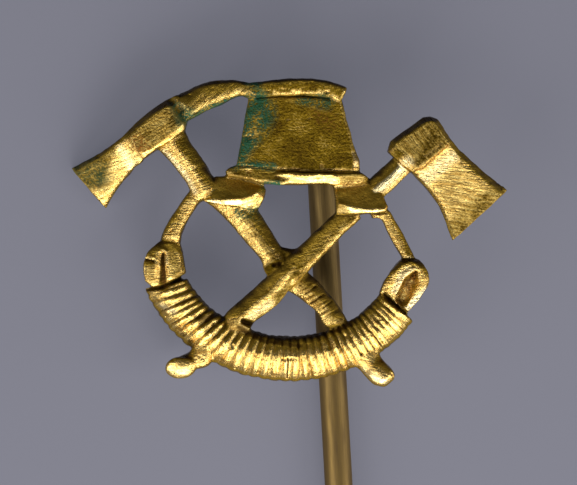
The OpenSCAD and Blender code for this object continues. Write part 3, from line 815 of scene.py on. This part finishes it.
rust_places = [
    ([[-6.6, 5.5, 0.7], [-6.3, 5.25, 0.6]], 1.0),
    (left_slot, 0.35),
    ([[5.2, -0.1, 0.2], [4.95, -0.65, 0.4]], 0.9),
    ([[-4.1, -3.6, 0.5], [-3.6, -3.4, 0.5]], 0.5),
    ([[0.6, -0.35, 1.0], [1.9, -1.75, 0.9]], 0.3),
    ([[3.5, -3.5, 0.6], [4.2, -4.3, 0.5]], 0.35),
    ([[-3.1, 3.8, 0.5], [-2.3, 3.75, 0.5]], 0.5),
    ([[2.2, 3.6, 0.5], [3.1, 3.75, 0.5]], 0.5),
    ([[1.0, 6.9, 0.8], [1.7, 6.3, 0.8]], 0.4),
]
paint("verdigris", most_of(verdigris_places))
paint("rust", most_of(rust_places))

emblem_mesh.transform(emblem_place)
emblem_mesh.shade_smooth()
emblem = bpy.data.objects.new("emblem_casting", emblem_mesh)
bpy.context.scene.collection.objects.link(emblem)
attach(emblem, "root")
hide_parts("emblem")

brass = bpy.data.materials.new("old gilt brass")
brass.use_nodes = True
tree = brass.node_tree
brass_shader = tree.nodes["Principled BSDF"]


def node(kind, inputs=None, **settings):
    """A node of a kind, with its settings, and its inputs set to values or linked to sockets."""
    made = tree.nodes.new(kind)
    for name, value in settings.items():
        setattr(made, name, value)
    for name, value in (inputs or {}).items():
        if isinstance(value, bpy.types.NodeSocket):
            tree.links.new(value, made.inputs[name])
        else:
            made.inputs[name].default_value = value
    return made


def field(name):
    """The numbers of one of the skin's layers."""
    return node("ShaderNodeAttribute", attribute_name=name).outputs["Fac"]


def shares(value, low, high, to_low=0.0, to_high=1.0):
    """How far a value is from a low one to a high one, from 0 to 1 or between two other numbers."""
    return node("ShaderNodeMapRange", {0: value, 1: low, 2: high, 3: to_low, 4: to_high}).outputs[0]


def mixed(factor, one, other):
    """One colour, turning into the other as the factor goes from 0 to 1."""
    return node("ShaderNodeMix", {0: factor, 6: one, 7: other}, data_type="RGBA").outputs[2]


def sum_of(one, other):
    return node("ShaderNodeMath", {0: one, 1: other}, operation="ADD").outputs[0]


def product(one, other):
    return node("ShaderNodeMath", {0: one, 1: other}, operation="MULTIPLY").outputs[0]


gold = (0.95, 0.69, 0.225, 1)
deep_gold = (0.68, 0.41, 0.1, 1)
pale_gold = (0.97, 0.82, 0.45, 1)
olive = (0.235, 0.147, 0.008, 1)
dark_olive = (0.07, 0.038, 0.003, 1)
crevice_shade = (0.06, 0.03, 0.005, 1)
slope_half_shade = (0.46, 0.29, 0.035, 1)
slope_deep_shade = (0.018, 0.008, 0.001, 1)
green = (0.011, 0.078, 0.033, 1)
pale_green = (0.035, 0.1, 0.06, 1)
rust_brown = (0.30, 0.12, 0.02, 1)

stroke_field = node("ShaderNodeAttribute", attribute_name="strokes").outputs["Vector"]
along_strokes = node("ShaderNodeMapping", {"Vector": stroke_field, "Scale": (1.5, 12, 1)}).outputs[0]
fine_strokes = node("ShaderNodeMapping", {"Vector": stroke_field, "Scale": (3, 30, 1)}).outputs[0]
coarse = node("ShaderNodeTexNoise", {"Vector": along_strokes, "Scale": 1.0, "Detail": 4}).outputs[0]
fine = node("ShaderNodeTexNoise", {"Vector": fine_strokes, "Scale": 1.0, "Detail": 3}).outputs[0]
place = node("ShaderNodeTexCoord").outputs["Object"]
blotch = node("ShaderNodeTexNoise", {"Vector": place, "Scale": 1100, "Detail": 5}).outputs[0]
grit = node("ShaderNodeTexNoise", {
    "Vector": place, "Scale": 11000, "Detail": 3, "Roughness": 0.6}).outputs[0]

kept_film = sum_of(field("film"), product(field("polish"), -0.35))
patchy = sum_of(sum_of(product(blotch, 0.4), product(grit, 0.35)), product(coarse, 0.25))
dull = shares(sum_of(product(kept_film, 0.45), patchy), 0.55, 0.9)
sunk = shares(field("hollow"), 0.25, 1.1)
rusty = shares(product(field("rust"), shares(grit, 0.42, 0.6)), 0.1, 0.9)
spotty = sum_of(product(blotch, 0.45), product(grit, 0.55))
greened = shares(product(field("verdigris"), shares(spotty, 0.41, 0.55)), 0.05, 0.75)
worn = shares(sum_of(field("polish"), product(grit, 0.5)), 0.45, 1.15)

# The bare gilt, over it the film, then the painted shade on the slopes, the dirt and painted shade in the
# hollows, the rust and the verdigris.
metal_colour = mixed(shares(coarse, 0.35, 0.62), gold, deep_gold)
metal_colour = mixed(worn, metal_colour, pale_gold)
metal_colour = mixed(dull, metal_colour, mixed(shares(patchy, 0.42, 0.6), olive, dark_olive))
# Painted shade on the slopes that face up and on the upright sides, deepening to near black.
darkened = mixed(shares(field("slope_shade"), 0.3, 1), slope_half_shade, slope_deep_shade)
metal_colour = mixed(shares(field("slope_shade"), 0, 0.25), metal_colour, darkened)
# Painted shade, with some dirt, in the hollows, the grooves and the corners between the forms.
metal_colour = mixed(sunk, metal_colour, crevice_shade)
metal_colour = mixed(rusty, metal_colour, rust_brown)
metal_colour = mixed(greened, metal_colour, mixed(shares(grit, 0.45, 0.62), green, pale_green))
tree.links.new(metal_colour, brass_shader.inputs["Base Color"])

# Only bare gilt shines as metal does, and less where shade is painted in the hollows and on the slopes.
# It is smooth where it is rubbed, and rough under the film.
bare = product(shares(dull, 0, 1, 1, 0.45), shares(sum_of(sunk, field("slope_shade")), 0, 1, 1, 0.3))
bare = product(bare, shares(sum_of(greened, rusty), 0, 1, 1, 0.1))
tree.links.new(bare, brass_shader.inputs["Metallic"])
rough_skin = shares(sum_of(product(dull, 0.5), fine), 0.3, 1.2, 0.2, 0.5)
tree.links.new(rough_skin, brass_shader.inputs["Roughness"])
brass_shader.inputs["Specular IOR Level"].default_value = 0.08
brass_shader.inputs["Specular Tint"].default_value = (0.9, 0.68, 0.3, 1)
marks_depth = 0.00011
grain_depth = 0.0001
marks = product(sum_of(product(coarse, 0.65), product(fine, 0.35)), field("cut"))
marks_bump = node("ShaderNodeBump", {"Height": marks, "Strength": 1, "Distance": marks_depth})
grain = product(grit, shares(kept_film, -0.3, 1, 0.04, 1))
grain_bump = node("ShaderNodeBump", {
    "Height": grain, "Strength": 1, "Distance": grain_depth, "Normal": marks_bump.outputs[0]})
tree.links.new(grain_bump.outputs[0], brass_shader.inputs["Normal"])
emblem_mesh.materials.append(brass)

# The needle: a plain drawn brass wire, bent forward at its top into the solder, and ground to a
# point at its far end. It has gone brown, with fine draw marks along it, and is painted lighter near
# the emblem, as painted light against the emblem's shade over it.
wire_brass = (0.29, 0.19, 0.06, 1)
wire_painted_light = (0.48, 0.33, 0.12, 1)
wire_brown = (0.08, 0.047, 0.016, 1)
painted_light_from = 0.012
painted_light_to = 0.02
draw_depth = 0.000008

wire = bpy.data.materials.new("drawn wire")
wire.use_nodes = True
tree = wire.node_tree
wire_shader = tree.nodes["Principled BSDF"]
place = node("ShaderNodeTexCoord").outputs["Object"]
drawn = node("ShaderNodeMapping", {"Vector": place, "Scale": (14000, 300, 14000)}).outputs[0]
draw_marks = node("ShaderNodeTexNoise", {"Vector": drawn, "Scale": 1.0, "Detail": 3}).outputs[0]
streaks = node("ShaderNodeMapping", {"Vector": place, "Scale": (3000, 400, 3000)}).outputs[0]
tarnish = node("ShaderNodeTexNoise", {"Vector": streaks, "Scale": 1.0, "Detail": 6}).outputs[0]
browned = shares(sum_of(product(tarnish, 0.8), product(draw_marks, 0.2)), 0.25, 0.75)
along_wire = node("ShaderNodeSeparateXYZ", {"Vector": place}).outputs["Y"]
# Painted light: the wire is lighter towards the emblem, where the emblem shades it.
brass_with_painted_light = mixed(shares(along_wire, painted_light_from, painted_light_to), wire_brass, wire_painted_light)
tree.links.new(mixed(browned, brass_with_painted_light, wire_brown), wire_shader.inputs["Base Color"])
tree.links.new(shares(browned, 0, 1, 1, 0.6), wire_shader.inputs["Metallic"])
tree.links.new(shares(browned, 0, 1, 0.42, 0.65), wire_shader.inputs["Roughness"])
wire_bump = node("ShaderNodeBump", {"Height": draw_marks, "Strength": 1, "Distance": draw_depth})
tree.links.new(wire_bump.outputs[0], wire_shader.inputs["Normal"])
needle = frame["nodes"]["needle"]
needle.data.materials.clear()
needle.data.materials.append(wire)
